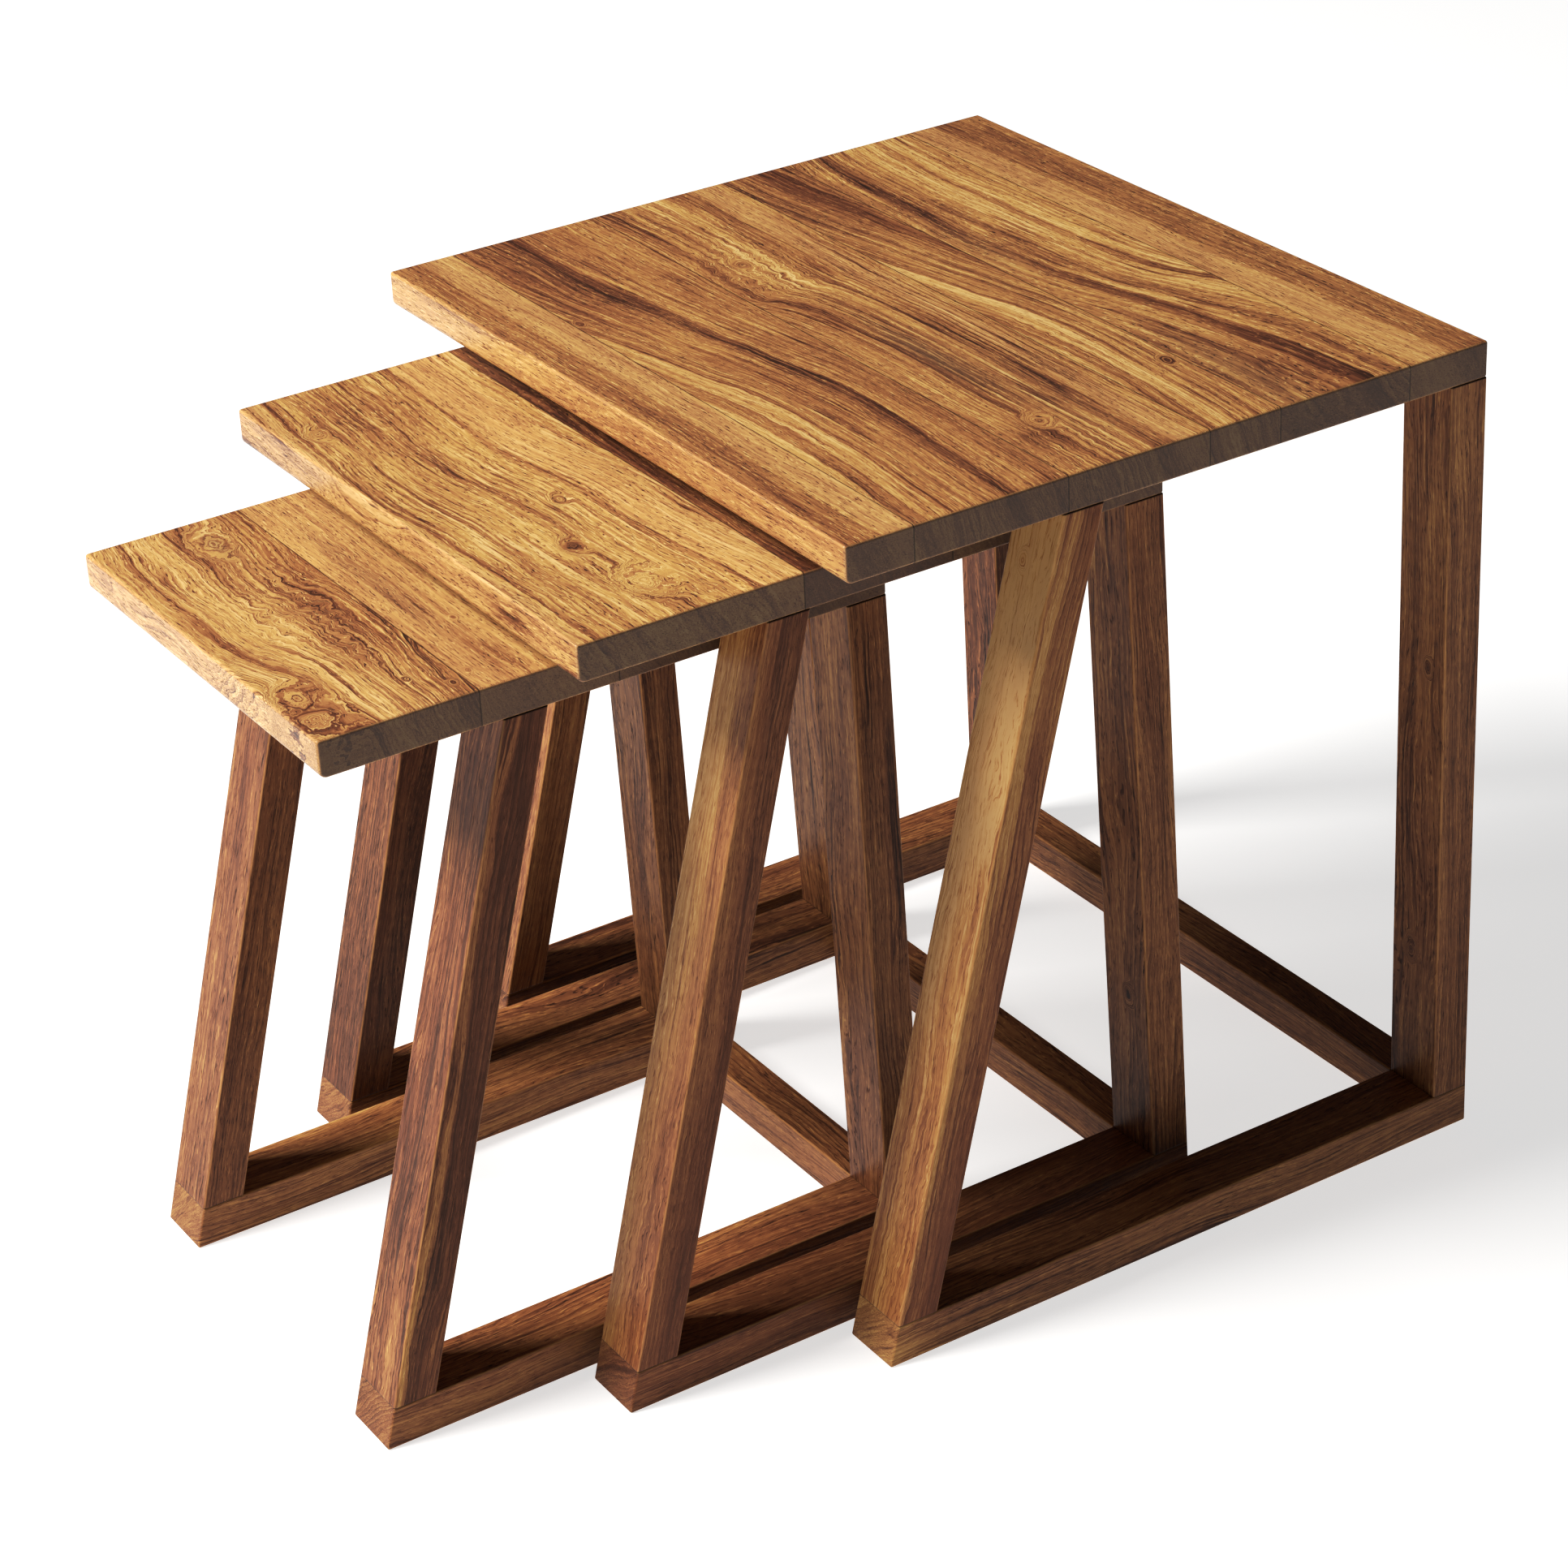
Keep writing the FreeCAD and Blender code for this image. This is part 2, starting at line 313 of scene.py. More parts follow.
    # Paler rounded edges: rubbed wear and a painted highlight.
    colour = graph.mix_colour(given["Wear And Highlight"], colour, WORN_AND_HIGHLIT_EDGE)
    colour = graph.mix_colour(given["Seam"], colour, GLUE_LINE)
    rough = graph.add(
        FINISH_ROUGHNESS,
        graph.times(pores, 0.20),
        graph.times(fibre, 0.05),
        graph.times(given["End"], 0.14),
    )
    height = graph.add(
        graph.times(pores, -1.0),
        graph.times(fibre, 0.30),
        graph.times(given["Seam"], -2.5),
    )
    graph.feed(result["Colour"], colour)
    graph.feed(result["Roughness"], rough)
    graph.feed(result["Height"], height)
    return graph.tree


GRAIN_LINES = build_grain_group()
SHEESHAM = build_sheesham_group()


@dataclass
class Cut:
    """How one piece is cut from the wood: its grain frame and its own figure.

    origin is a point of the frame, in metres. along and across the grain are directions in it.
    Other places are in millimetres from the piece's middle, and sizes in millimetres.
    half_width: half the piece's size across the grain.
    free: where its exposed faces lie along the grain, across it and through the thickness.
    seams: its glue lines, each an axis and the distance along it from the frame's origin in metres.
    tone: from 0, dark, to 1, pale.
    bands, lines, veins, fine: how strong each kind of figure is.
    red: how red the wood is.
    wander, curl: how far the grain drifts over a long and a short run.
    tilt: how far the rings step across for each millimetre of depth.
    end_dark: how dark the end grain is.
    gloss: the shine of the finish.
    profile: tone against the place across the rings, in place of tone.
    front, back: how far the grain is carried across at the two long edges, against the place along.
    pale: bands of sapwood, as middle, half width and strength.
    patches: middle along and across, half length, half width, change of tone, ripple and stain.
    knots: middle along and across, radius, and how dark the heart is.
    """

    name: str
    origin: Vector
    along: Vector
    across: Vector
    half_width: float
    free: tuple
    seams: tuple = ()
    tone: float = 0.55
    bands: float = 0.15
    lines: float = 0.8
    veins: float = 0.7
    fine: float = 1.25
    red: float = 0.15
    wander: float = 16.0
    curl: float = 2.5
    tilt: float = 0.45
    end_dark: float = 0.8
    gloss: float = 0.28
    profile: tuple = ()
    front: tuple = ()
    back: tuple = ()
    pale: tuple = ()
    patches: tuple = ()
    knots: tuple = ()

    def __post_init__(self):
        self.through = self.along.cross(self.across)
        self.seed = random.Random(self.name).uniform(1.0, 60.0)


def curve_through(graph, value, points):
    """Smooth curve through points, whose places and values are in any unit."""
    places = [place for place, _ in points]
    heights = [height for _, height in points]
    low_place, low_height = min(places), min(heights)
    run = max(places) - low_place
    rise = max(heights) - low_height
    share = graph.math("MULTIPLY_ADD", value, 1 / run, -low_place / run, clamp=True)
    shares = [((place - low_place) / run, (height - low_height) / rise) for place, height in points]
    return graph.math("MULTIPLY_ADD", graph.curve(share, shares), rise, low_height)


class Wood:
    """The material of one piece."""

    def __init__(self, cut):
        self.cut = cut
        self.material = bpy.data.materials.new(cut.name)
        self.material.use_nodes = True
        self.material.node_tree.nodes.clear()
        self.graph = Graph(self.material.node_tree)
        self.coordinates = self.graph.node("ShaderNodeTexCoord").outputs
        from_origin = self.graph.vector("SUBTRACT", self.coordinates["Object"], tuple(cut.origin))
        axes = (cut.along / MM, cut.across / MM, cut.through / MM)
        self.parts = [self.graph.vector("DOT_PRODUCT", from_origin, tuple(axis)) for axis in axes]
        self.place = self.graph.combine(*self.parts)

    def group(self, tree, values):
        made = self.graph.node("ShaderNodeGroup", node_tree=tree)
        for key, value in values.items():
            self.graph.feed(made.inputs[key], value)
        return made.outputs

    def scaled(self, *sizes):
        """The place in the piece, for noise of these sizes along, across and through."""
        return self.graph.vector("MULTIPLY", self.place, tuple(1 / size for size in sizes))

    def bump_at(self, along, across, length, width):
        """1 at a place in the piece, fading out over length and width."""
        graph = self.graph
        du = graph.math("MULTIPLY_ADD", self.parts[0], 1 / length, -along / length)
        dv = graph.math("MULTIPLY_ADD", self.parts[1], 1 / width, -across / width)
        squared = graph.add(graph.times(du, du), graph.times(dv, dv))
        return graph.math("EXPONENT", graph.times(squared, -1.0))

    def patch_totals(self):
        """What the patches add to the tone, the ripple and the stain."""
        graph, tone, ripple, stain = self.graph, 0.0, 0.0, 0.0
        for along, across, length, width, shade, wave, grey in self.cut.patches:
            near = self.bump_at(along, across, length, width)
            tone = graph.math("MULTIPLY_ADD", near, shade, tone)
            ripple = graph.math("MULTIPLY_ADD", near, wave, ripple)
            stain = graph.math("MULTIPLY_ADD", near, grey, stain)
        return tone, ripple, stain

    def add_knots(self, across):
        """Closes the rings round each knot. Gives the new place across and the knots' darkness."""
        graph, dark = self.graph, 0.0
        if not self.cut.knots:
            return across, dark
        uneven = graph.noise(self.scaled(9, 6, 6), detail=2.0, roughness=0.6)
        gaps = graph.noise(self.scaled(5, 5, 5), detail=1.0)
        broken = graph.rise(gaps, low=-0.5, high=0.3)
        for along, middle, radius, heart in self.cut.knots:
            per_mm = KNOT_STRETCH / radius
            du = graph.math("MULTIPLY_ADD", self.parts[0], per_mm, -per_mm * along)
            dv = graph.math("MULTIPLY_ADD", self.parts[1], 1 / radius, -middle / radius)
            squared = graph.add(graph.times(du, du), graph.times(dv, dv))
            round_heart = graph.math("SQRT", squared)
            distance = graph.math("MULTIPLY_ADD", uneven, KNOT_RAGGED, round_heart)
            rings = graph.math("MULTIPLY_ADD", distance, KNOT_RING_SPREAD * radius, middle)
            inside = graph.fall(distance, low=0.8, high=2.2)
            span = graph.math("SUBTRACT", rings, across)
            across = graph.math("MULTIPLY_ADD", span, inside, across)
            from_rim = graph.math("ABSOLUTE", graph.math("SUBTRACT", distance, KNOT_RIM))
            rim = graph.fall(from_rim, low=0.02, high=0.20)
            dark = graph.math("MULTIPLY_ADD", graph.times(rim, broken), KNOT_RIM_DARK, dark)
            core = graph.fall(distance, low=0.35, high=KNOT_RIM)
            dark = graph.math("MULTIPLY_ADD", core, heart, dark)
        return across, dark

    def across_rings(self, ripple):
        """How far across the growth rings a point lies, in millimetres."""
        graph, cut = self.graph, self.cut
        values = {
            "Place": self.place,
            "Seed": cut.seed,
            "Wander": cut.wander,
            "Curl": cut.curl,
            "Ripple": ripple,
        }
        shift = self.group(GRAIN_LINES, values)["Shift"]
        across = graph.add(self.parts[1], graph.times(self.parts[2], cut.tilt), shift)
        if cut.front:
            front = curve_through(graph, self.parts[0], cut.front)
            back = curve_through(graph, self.parts[0], cut.back)
            share = graph.math("MULTIPLY_ADD", self.parts[1], 0.5 / cut.half_width, 0.5, clamp=True)
            span = graph.math("SUBTRACT", back, front)
            carried = graph.math("MULTIPLY_ADD", span, share, front)
            across = graph.math("SUBTRACT", across, carried)
        return across

    def sapwood(self, across):
        """1 in the middle of a full band of sapwood."""
        graph, total = self.graph, 0.0
        for middle, half_width, strength in self.cut.pale:
            gap = graph.math("ABSOLUTE", graph.math("SUBTRACT", across, middle))
            band = graph.fall(gap, low=0.6 * half_width, high=1.25 * half_width)
            total = graph.math("MULTIPLY_ADD", band, strength, total)
        return total

    def edge_wear_and_highlight(self):
        """1 on the rounded edges, where the finish is rubbed thin and a painted highlight stands in
        for the light that the eased edges catch, broken up by noise.

        An edge is where the second nearest of the three pairs of faces is near too.
        """
        graph, gaps = self.graph, []
        for (low, high), part in zip(self.cut.free, self.parts):
            from_low = graph.math("SUBTRACT", part, low)
            from_high = graph.math("SUBTRACT", high, part)
            gaps.append(graph.math("MINIMUM", from_low, from_high))
        low = graph.math("MINIMUM", gaps[0], gaps[1])
        high = graph.math("MAXIMUM", gaps[0], gaps[1])
        second = graph.math("MAXIMUM", low, graph.math("MINIMUM", high, gaps[2]))
        broken = graph.noise(self.scaled(23, 9, 9), detail=3.0, roughness=0.6)
        amount = graph.math("MULTIPLY_ADD", broken, WEAR_AND_HIGHLIGHT_SPREAD, WEAR_AND_HIGHLIGHT_AMOUNT, clamp=True)
        return graph.times(graph.fall(second, WEAR_AND_HIGHLIGHT_CORE, WEAR_AND_HIGHLIGHT_WIDTH), amount)

    def seam_lines(self):
        """Near 1 on the glue lines."""
        graph, lines = self.graph, 0.0
        for axis, distance in self.cut.seams:
            place = graph.vector("DOT_PRODUCT", self.coordinates["Object"], tuple(axis))
            gap = graph.math("ABSOLUTE", graph.math("SUBTRACT", place, distance))
            lines = graph.math("MAXIMUM", lines, graph.fall(gap, SEAM_CORE, SEAM_EDGE))
        return graph.times(lines, SEAM_STRENGTH)

    def end_grain(self):
        """1 on faces that cut across the grain."""
        facing = self.graph.vector("DOT_PRODUCT", self.coordinates["Normal"], tuple(self.cut.along))
        return self.graph.rise(self.graph.math("ABSOLUTE", facing), low=0.55, high=0.95)

    def build(self):
        graph, cut = self.graph, self.cut
        patch_tone, ripple, stain = self.patch_totals()
        across, dark = self.add_knots(self.across_rings(ripple))
        tone = curve_through(graph, across, cut.profile) if cut.profile else cut.tone
        tone = graph.math("SUBTRACT", graph.add(tone, patch_tone), dark)
        values = {
            "Place": self.place,
            "Across": across,
            "Tone": tone,
            "Seed": cut.seed,
            "Bands": cut.bands,
            "Lines": cut.lines,
            "Veins": cut.veins,
            "Fine": cut.fine,
            "Red": cut.red,
            "Pale": self.sapwood(across),
            "Stain": stain,
            "End": self.end_grain(),
            "End Dark": cut.end_dark,
            "Wear And Highlight": self.edge_wear_and_highlight(),
            "Seam": self.seam_lines(),
        }
        wood = self.group(SHEESHAM, values)
        relief = {"Height": wood["Height"], "Strength": BUMP_STRENGTH, "Distance": BUMP_HEIGHT}
        bump = graph.node("ShaderNodeBump", relief)
        inputs = {
            "Base Color": wood["Colour"],
            "Roughness": wood["Roughness"],
            "Normal": bump.outputs[0],
            "Specular IOR Level": cut.gloss,
            "Coat Weight": COAT_PER_GLOSS * cut.gloss,
            "Coat Roughness": COAT_ROUGHNESS,
        }
        shader = graph.node("ShaderNodeBsdfPrincipled", inputs)
        graph.node("ShaderNodeOutputMaterial", {"Surface": shader.outputs[0]})
        return self.material


# ---------------------------------------------------------------- pieces
X = Vector((1, 0, 0))
Y = Vector((0, 1, 0))
Z = Vector((0, 0, 1))
OUT_OF_THE_WAY = 1000.0
BAR_HALF_THICKNESS = 14.0
RAIL_END_DARK = 0.2
END_TOLERANCE = 0.01

BOARDS = {"large": 6, "middle": 4, "small": 4}
BAR_FIGURE = dict(
    tone=.43, bands=.17, lines=.9, veins=.9, fine=.70, red=.10, wander=20, curl=3.5, tilt=1.2,
    gloss=.10,
)
DOWEL_RADIUS = 4.0
DOWEL_FIGURE = dict(tone=.72, bands=.08, lines=.4, veins=0.0, fine=.60, red=.05, gloss=.10)

# Boards 2 and 4 of the large top are cut from one plank, FLAME_STEP mm apart across it.
# Both show its flame.
FLAME_STEP = 23
FLAME_PROFILE = (
    (-118, .78), (-112, .62), (-108, .82), (-100, .76), (-96, .46), (-91, .60), (-88, .48),
    (-85, .50), (-81, .78), (-77, .68), (-73, .86), (-66, .76), (-63, .44), (-58, .68), (-53, .54),
    (-49, .66), (-43, .48), (-38, .70), (-33, .54), (-28, .64), (-20, .58), (-14, .48), (-10, .40),
    (-4, .33), (-1, .44), (2, .60), (8, .54), (30, .54), (53, .57),
)
FLAME_FRONT = (
    (-265, 0), (-172, 6), (-111, 16), (-4, 40), (62, 57), (108, 62), (169, 63), (202, 59),
    (265, 50),
)
FLAME_BACK = ((-265, 0), (-172, 1), (-78, 2), (-4, 10), (62, 20), (108, 23), (202, 17), (265, 12))
FLAME_MIDDLE = (
    (-265, 0), (-172, 3), (-78, 12), (-4, 24), (62, 37), (108, 41), (202, 37), (265, 30),
)


def shifted(profile, distance):
    """A profile moved across the rings."""
    return tuple((place + distance, tone) for place, tone in profile)


# The figure of each piece that can be told apart.
FIGURES = {
    "large_top_board_6": dict(
        bands=.09, lines=.35, veins=.3, wander=5, red=.12,
        profile=(
            (-45, .64), (-30, .66), (-6, .67), (-2, .50), (14, .47), (26, .52), (30, .60), (45, .6),
        ),
        front=((-265, 0), (0, 5), (265, 9)),
        back=((-265, 0), (0, 5), (265, 9)),
        pale=((-18, 14, .35),),
    ),
    "large_top_board_5": dict(
        bands=.09, lines=1.1, veins=.4, wander=5, red=.14,
        profile=(
            (-60, .54), (-45, .54), (-34, .56), (-30, .68), (-28, .52), (-25, .70), (-22, .52),
            (-19, .42), (-14, .33), (-12, .42), (-9, .70), (-4, .62), (0, .52), (3, .66), (12, .76),
            (20, .80), (26, .72), (29, .50), (32, .66), (36, .78), (44, .76), (49, .64),
        ),
        front=((-265, 0), (-125, -10), (15, -6), (85, 4), (156, 8), (203, 10), (265, 10)),
        back=((-265, 0), (-125, -2), (15, 8), (85, 26), (156, 43), (203, 47), (265, 50)),
        patches=(
            (-50, -37, 60, 12, .05, 0, .15), (235, 15, 70, 40, -.13, 0, 0),
            (215, -34, 90, 16, -.02, 0, .25),
        ),
    ),
    "large_top_board_4": dict(
        profile=shifted(FLAME_PROFILE, FLAME_STEP), front=FLAME_FRONT, back=FLAME_MIDDLE, bands=.09,
        lines=1.1, veins=.4, wander=6, curl=3.5, red=.22,
        knots=((167, 18, 3.0, .05),),
        patches=(
            (-205, 4, 95, 26, -.16, 0, 0), (215, 14, 60, 9, -.08, 0, 0),
            (90, -14, 90, 16, .03, 2.5, 0),
        ),
    ),
    "large_top_board_3": dict(
        bands=.11, lines=1.6, veins=.4, wander=5, curl=3.0, red=.14,
        profile=(
            (-55, .58), (-40, .54), (-37, .40), (-34, .46), (-30, .68), (-26, .52), (-23, .72),
            (-18, .54), (-15, .74), (-10, .58), (-6, .76), (-1, .60), (3, .78), (8, .70), (14, .54),
            (26, .50), (29, .64), (51, .68),
        ),
        front=((-265, 0), (-158, 5), (-78, -2), (-60, 7), (-22, 21), (15, 28), (60, 33), (265, 28)),
        back=((-265, 0), (-100, -4), (0, -8), (265, -6)),
        pale=((41, 11, .3),),
        patches=(
            (-115, -20, 60, 26, .05, 8.0, 0), (73, -12, 62, 9, -.10, 0, .36),
            (150, 8, 110, 18, -.08, 0, .1), (209, -32, 16, 14, -.20, 4.0, 0),
            (235, -15, 36, 24, .02, 4.0, 0), (120, -30, 55, 9, .08, 0, 0),
        ),
        knots=((192, -18, 5.0, .10), (-128, -20, 5.0, .05)),
    ),
    "large_top_board_2": dict(
        profile=FLAME_PROFILE, front=FLAME_FRONT, back=FLAME_BACK, bands=.09, lines=1.1, veins=.4,
        wander=6, curl=3.5, red=.18,
        knots=((-108, -49, 2.2, .20),),
        patches=(
            (-205, -36, 95, 26, -.20, 0, 0), (190, 33, 80, 5, .12, 0, 0),
            (-150, 15, 110, 5, .08, 0, 0), (90, -38, 90, 16, .03, 2.5, 0),
        ),
    ),
    "large_top_board_1": dict(
        bands=.10, lines=.45, veins=.3, wander=5, red=.12,
        profile=(
            (-30, .64), (-20, .66), (-17, .50), (-8, .49), (4, .52), (6, .64), (18, .67), (30, .65),
        ),
        front=((-265, 0), (0, 1), (265, 2)),
        back=((-265, 0), (0, 1), (265, 2)),
        pale=((18, 12, .35), (-25, 5, .2)),
    ),
    "middle_top_board_1": dict(
        bands=.11, lines=1.3, veins=.3, fine=1.5, wander=5, curl=3.5, red=.12,
        profile=(
            (-80, .60), (-70, .67), (-64, .73), (-62, .46), (-58, .70), (-44, .72), (-42, .50),
            (-39, .70), (-22, .74), (-8, .72), (-6, .54), (-2, .72), (14, .72), (28, .70),
            (31, .48), (35, .78), (78, .74),
        ),
        front=((-209, 8), (-160, 5), (-100, 0), (-40, -5), (30, 1), (90, 2), (209, 3)),
        back=((-209, 0), (-100, -2), (-40, 2), (30, 10), (110, 13), (165, 20), (209, 24)),
        pale=((-73, 9, .3), (52, 20, .30)),
        knots=((35, 16, 3.6, .12), (97, -10, 5.0, .42), (162, -1, 9.0, -.08), (-141, -53, 5.0, .0)),
        patches=(
            (-175, -28, 50, 12, -.20, 1, 0), (-60, -25, 80, 9, -.10, 0, 0),
            (190, 6, 20, 26, -.12, 3.5, 0), (-170, 20, 45, 24, -.07, 0, 0),
            (-100, 58, 110, 9, -.08, 0, 0),
        ),
    ),
    "middle_top_board_2": dict(tone=.34, red=.3, bands=.12, lines=.7),
    "small_top_board_1": dict(
        bands=.12, lines=1.4, veins=.5, fine=1.5, wander=5, curl=6.0, red=.16,
        profile=(
            (-60, .70), (-44, .74), (-27, .72), (-24, .42), (-21, .62), (-10, .78), (2, .78),
            (10, .66), (22, .62), (34, .64), (44, .68), (51, .50),
        ),
        front=(
            (-153, 0), (-83, -10), (-48, -9), (15, -9), (43, -2), (75, 12), (106, 20), (153, 24),
        ),
        back=((-153, 0), (-100, -2), (-55, -9), (-10, -3), (40, 0), (100, -10), (153, -14)),
        pale=((-10, 60, .12),),
        knots=(
            (128, -38, 12.0, .05), (99, -36, 8.0, .10), (-116, 18, 9.0, -.02), (136, 44, 2.0, .25),
            (116, 25, 1.6, .25),
        ),
        patches=(
            (-6, 31, 50, 15, -.27, 7.0, 0), (-112, 18, 24, 6, .02, 0, .25),
            (0, -2, 60, 14, .17, 5.0, 0), (60, 22, 40, 12, -.12, 5, 0), (118, 8, 26, 18, .12, 0, 0),
            (75, -30, 24, 12, .10, 2, 0), (-110, -28, 60, 9, -.10, 0, 0),
        ),
    ),
    "small_top_board_2": dict(
        tone=.66, red=.06, bands=.08, lines=.6, veins=.2, wander=6,
        pale=((0, 200, .30),),
        knots=((63, -12, 1.8, .25), (128, -38, 1.6, .25)),
        patches=((-10, -26, 110, 9, -.13, 2, .2), (130, -12, 30, 8, -.20, 0, 0)),
    ),
    # In the profiles of these front right legs, the low tones at the positive end fall on the +X
    # and back faces, away from the key light. This is painted shade over the grain, darker than the
    # front and -X faces.
    "large_front_leg_right": dict(
        bands=.19, lines=1.2, veins=1.1, wander=20, curl=4, red=.55,
        profile=(
            (-30, .70), (-18, .80), (-6, .70), (4, .80), (10, .50), (16, .57), (24, .36), (40, .32),
        ),
        knots=((222, -6, 3.0, .2),),
        # The second patch lightens the upper leg: painted light where the top's overhang shades it.
        patches=((-200, 4, 110, 20, -.14, 3, 0), (150, 0, 150, 40, .33, 2, 0)),
    ),
    "middle_front_leg_right": dict(
        bands=.12, lines=.7, veins=.6, wander=14, red=.42,
        profile=((-30, .74), (-18, .64), (-10, .50), (4, .42), (14, .40), (24, .30), (40, .27)),
        patches=((90, 0, 150, 40, .14, 0, 0), (-160, 0, 100, 40, -.16, 3, 0)),
    ),
    "small_front_leg_right": dict(
        bands=.15, lines=1.2, veins=1.2, wander=18, curl=4, red=.30,
        profile=((-30, .23), (-16, .20), (-4, .28), (6, .23), (12, .58), (18, .19), (40, .17)),
        patches=((-200, 0, 60, 30, .20, 2, 0),),
    ),
    "small_front_leg_left": dict(tone=.37, bands=.10, lines=.6, veins=.3, wander=8, red=.12),
    "middle_front_leg_left": dict(
        tone=.24, bands=.10, lines=.5,
        patches=((-200, 0, 120, 40, -.10, 0, 0),),
    ),
    "large_back_leg_left": dict(tone=.24),
    "middle_back_leg_right": dict(
        knots=((-120, 2, 3.6, .5),),
    ),
    "large_back_leg_right": dict(
        knots=((-150, -4, 4.0, .2), (60, 6, 3.0, .3)),
    ),
    "large_rail_right": dict(
        patches=((-231, 0, 28, 60, .26, 0, 0),),
    ),
    "small_rail_left": dict(tone=.48),
    "small_rail_right": dict(tone=.42, red=.25),
    "middle_rail_right": dict(tone=.38, red=.35),
}


def middle_and_half(node):
    """The middle of a node's box in metres, and its half sizes in millimetres."""
    low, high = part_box(node)
    return (low + high) / 2, (high - low) / (2 * MM)


def faces(half, low=True, high=True):
    """Where two opposite faces lie. A face that is glued to another piece is put out of the way."""
    return (-half if low else -OUT_OF_THE_WAY, half if high else OUT_OF_THE_WAY)


def board_cut(table, number, count):
    node = f"{table}_top_board_{number}"
    middle, half = middle_and_half(node)
    has_front = number == 1
    has_back = number == count
    seams = []
    if not has_front:
        seams.append((Y, middle.y - half.y * MM))
    if not has_back:
        seams.append((Y, middle.y + half.y * MM))
    free = (faces(half.x), faces(half.y, has_front, has_back), faces(half.z))
    return Cut(node, middle, X, Y, half.y, free, tuple(seams), **FIGURES.get(node, {}))


def leg_axis(node):
    """Direction of a leg from its foot to its top, read from where its ends lie."""
    low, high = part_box(node)
    heights = ((low.z, []), (high.z, []))
    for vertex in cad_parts[node].data.vertices:
        for height, found in heights:
            if abs(vertex.co.z - height) < END_TOLERANCE * MM:
                found.append(vertex.co.y)
    foot_y, top_y = ((min(found) + max(found)) / 2 for _, found in heights)
    return Vector((0, top_y - foot_y, high.z - low.z)).normalized()


def bar_cut(node, along, across, half, seams=()):
    """A leg, rail or stretcher. half is its half size across the grain and through the bar."""
    middle, _ = middle_and_half(node)
    free = (faces(0, False, False), faces(half[0]), faces(half[1]))
    figure = {**BAR_FIGURE, **FIGURES.get(node, {})}
    return Cut(node, middle, along, across, half[0], free, seams, **figure)


def leg_cut(node):
    _, half = middle_and_half(node)
    low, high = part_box(node)
    return bar_cut(node, leg_axis(node), X, (half.x, BAR_HALF_THICKNESS), ((Z, low.z), (Z, high.z)))


def rail_cut(node):
    _, half = middle_and_half(node)
    cut = bar_cut(node, Y, X, (half.x, half.z))
    cut.free = (faces(half.y), *cut.free[1:])
    cut.end_dark = RAIL_END_DARK
    return cut


def stretcher_cut(node):
    _, half = middle_and_half(node)
    low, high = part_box(node)
    return bar_cut(node, X, Y, (half.y, half.z), ((X, low.x), (X, high.x)))


def dowels_cut(node, along, across):
    """The hidden dowels of one kind in a table, all in one node."""
    middle, _ = middle_and_half(node)
    buried = (faces(0, False, False),) * 3
    return Cut(node, middle, along, across, DOWEL_RADIUS, buried, **DOWEL_FIGURE)


def paint(cut):
    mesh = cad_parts[cut.name].data
    mesh.materials.clear()
    mesh.materials.append(Wood(cut).build())


def paint_all():
    for table, count in BOARDS.items():
        for number in range(1, count + 1):
            paint(board_cut(table, number, count))
        for side in ("left", "right"):
            paint(leg_cut(f"{table}_front_leg_{side}"))
            paint(leg_cut(f"{table}_back_leg_{side}"))
            paint(rail_cut(f"{table}_rail_{side}"))
        paint(stretcher_cut(f"{table}_stretcher"))
        paint(dowels_cut(f"{table}_top_dowels", Z, X))
        paint(dowels_cut(f"{table}_rail_dowels", Z, X))
        paint(dowels_cut(f"{table}_stretcher_dowels", X, Y))


# ---------------------------------------------------------------- stage
FLOOR_HALF = 30.0
FLOOR_GLOW = 0.60
FLOOR_ROUGHNESS = 0.9
FLOOR_SPECULAR = 0.1

KEY_PLACE = Vector((-1.0, -3.0, 3.6))
KEY_TARGET = Vector((0.0, 0.0, 0.3))
KEY_SIZE = 1.8
KEY_POWER = 410.0
FILL = 0.06

CAMERA_PLACE = Vector((1.9697, -1.1854, 1.5141))
CAMERA_AZIMUTH = math.radians(58.51)
CAMERA_DOWN = math.radians(28.52)
CAMERA_ROLL = math.radians(-2.99)
SENSOR = 36.0
FOCAL = 93.62
CLIP_END = 50.0

CONTRAST = ((0.10, 0.078), (0.45, 0.50))


def floor():
    half = FLOOR_HALF
    corners = [(-half, -half, 0), (half, -half, 0), (half, half, 0), (-half, half, 0)]
    mesh = bpy.data.meshes.new("floor")
    mesh.from_pydata(corners, [], [(0, 1, 2, 3)])
    made = bpy.data.objects.new("floor", mesh)
    bpy.context.scene.collection.objects.link(made)
    material = bpy.data.materials.new("floor")
    material.use_nodes = True
    shader = material.node_tree.nodes["Principled BSDF"]
    shader.inputs["Base Color"].default_value = (*FLOOR_COLOUR, 1.0)
    shader.inputs["Roughness"].default_value = FLOOR_ROUGHNESS
    shader.inputs["Specular IOR Level"].default_value = FLOOR_SPECULAR
    shader.inputs["Emission Color"].default_value = (*WHITE, 1.0)
    shader.inputs["Emission Strength"].default_value = FLOOR_GLOW
    mesh.materials.append(material)


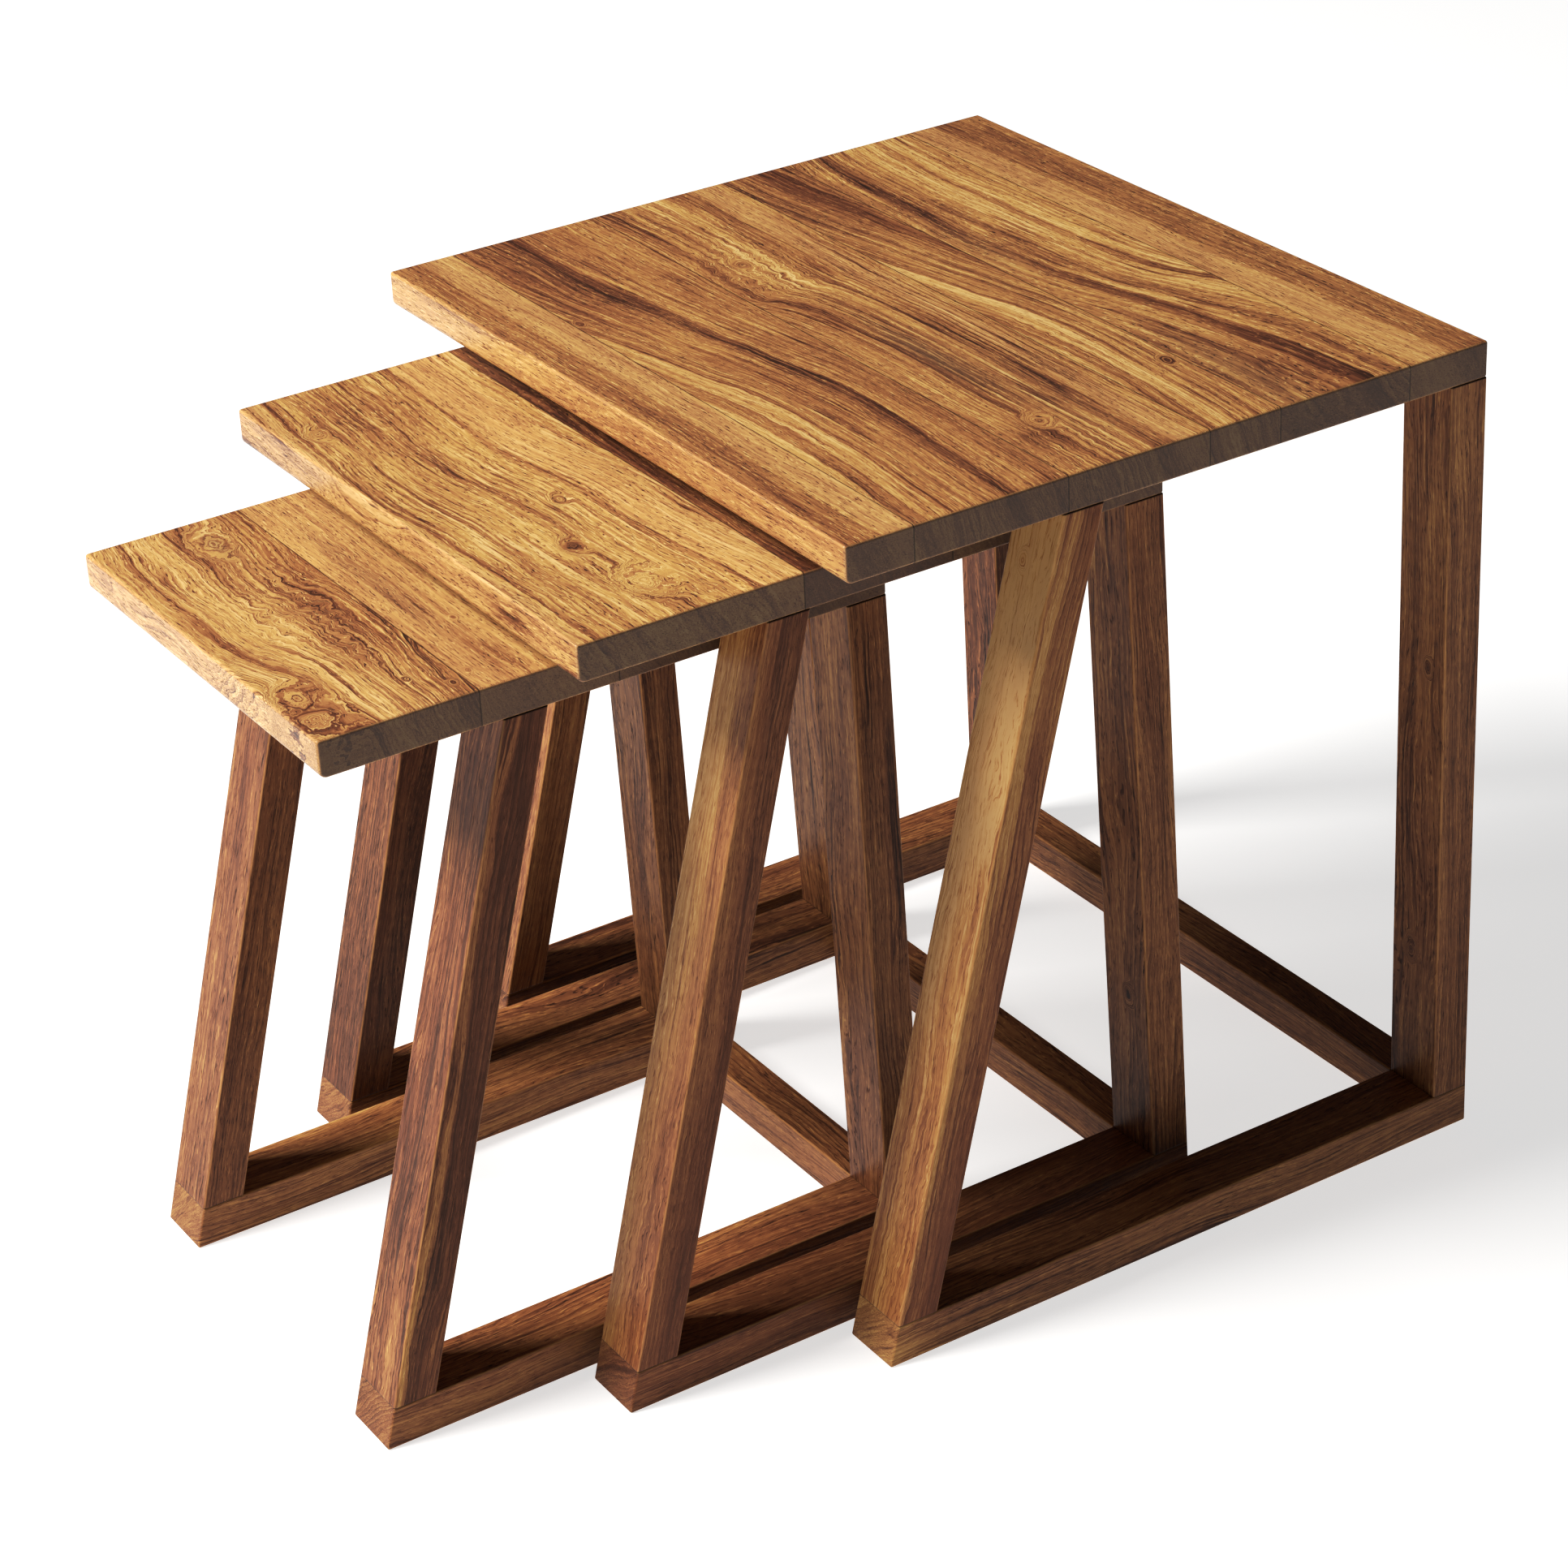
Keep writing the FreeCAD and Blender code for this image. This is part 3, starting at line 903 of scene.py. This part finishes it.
def key_light():
    data = bpy.data.lights.new("key", "AREA")
    data.shape = "SQUARE"
    data.size = KEY_SIZE
    data.energy = KEY_POWER
    data.color = KEY_COLOUR
    made = bpy.data.objects.new("key", data)
    made.location = KEY_PLACE
    made.rotation_euler = (KEY_TARGET - KEY_PLACE).to_track_quat("-Z", "Y").to_euler()
    bpy.context.scene.collection.objects.link(made)


def surroundings():
    """White to the camera, but only a faint light on the object."""
    world = bpy.data.worlds.new("studio")
    world.use_nodes = True
    graph = Graph(world.node_tree)
    background = world.node_tree.nodes["Background"]
    background.inputs["Color"].default_value = (*WHITE, 1.0)
    seen = graph.node("ShaderNodeLightPath").outputs["Is Camera Ray"]
    strength = graph.math("MULTIPLY_ADD", seen, 1.0 - FILL, FILL)
    graph.feed(background.inputs["Strength"], strength)
    bpy.context.scene.world = world


def camera():
    data = bpy.data.cameras.new("camera")
    data.sensor_width = SENSOR
    data.lens = FOCAL
    data.clip_end = CLIP_END
    made = bpy.data.objects.new("camera", data)
    ahead = Vector((
        -math.sin(CAMERA_AZIMUTH) * math.cos(CAMERA_DOWN),
        math.cos(CAMERA_AZIMUTH) * math.cos(CAMERA_DOWN),
        -math.sin(CAMERA_DOWN),
    ))
    right = ahead.cross(Z).normalized()
    up = right.cross(ahead)
    rolled_right = right * math.cos(CAMERA_ROLL) + up * math.sin(CAMERA_ROLL)
    rolled_up = up * math.cos(CAMERA_ROLL) - right * math.sin(CAMERA_ROLL)
    turn = Matrix((rolled_right, rolled_up, -ahead)).transposed()
    made.matrix_world = Matrix.Translation(CAMERA_PLACE) @ turn.to_4x4()
    bpy.context.scene.collection.objects.link(made)
    bpy.context.scene.camera = made


def contrast():
    """Plain view transform with darker shadows and lighter middle tones."""
    settings = bpy.context.scene.view_settings
    settings.view_transform = "Standard"
    settings.use_curve_mapping = True
    line = settings.curve_mapping.curves[3]
    for shade, shown in CONTRAST:
        line.points.new(shade, shown)
    settings.curve_mapping.update()


paint_all()
floor()
key_light()
surroundings()
camera()
contrast()
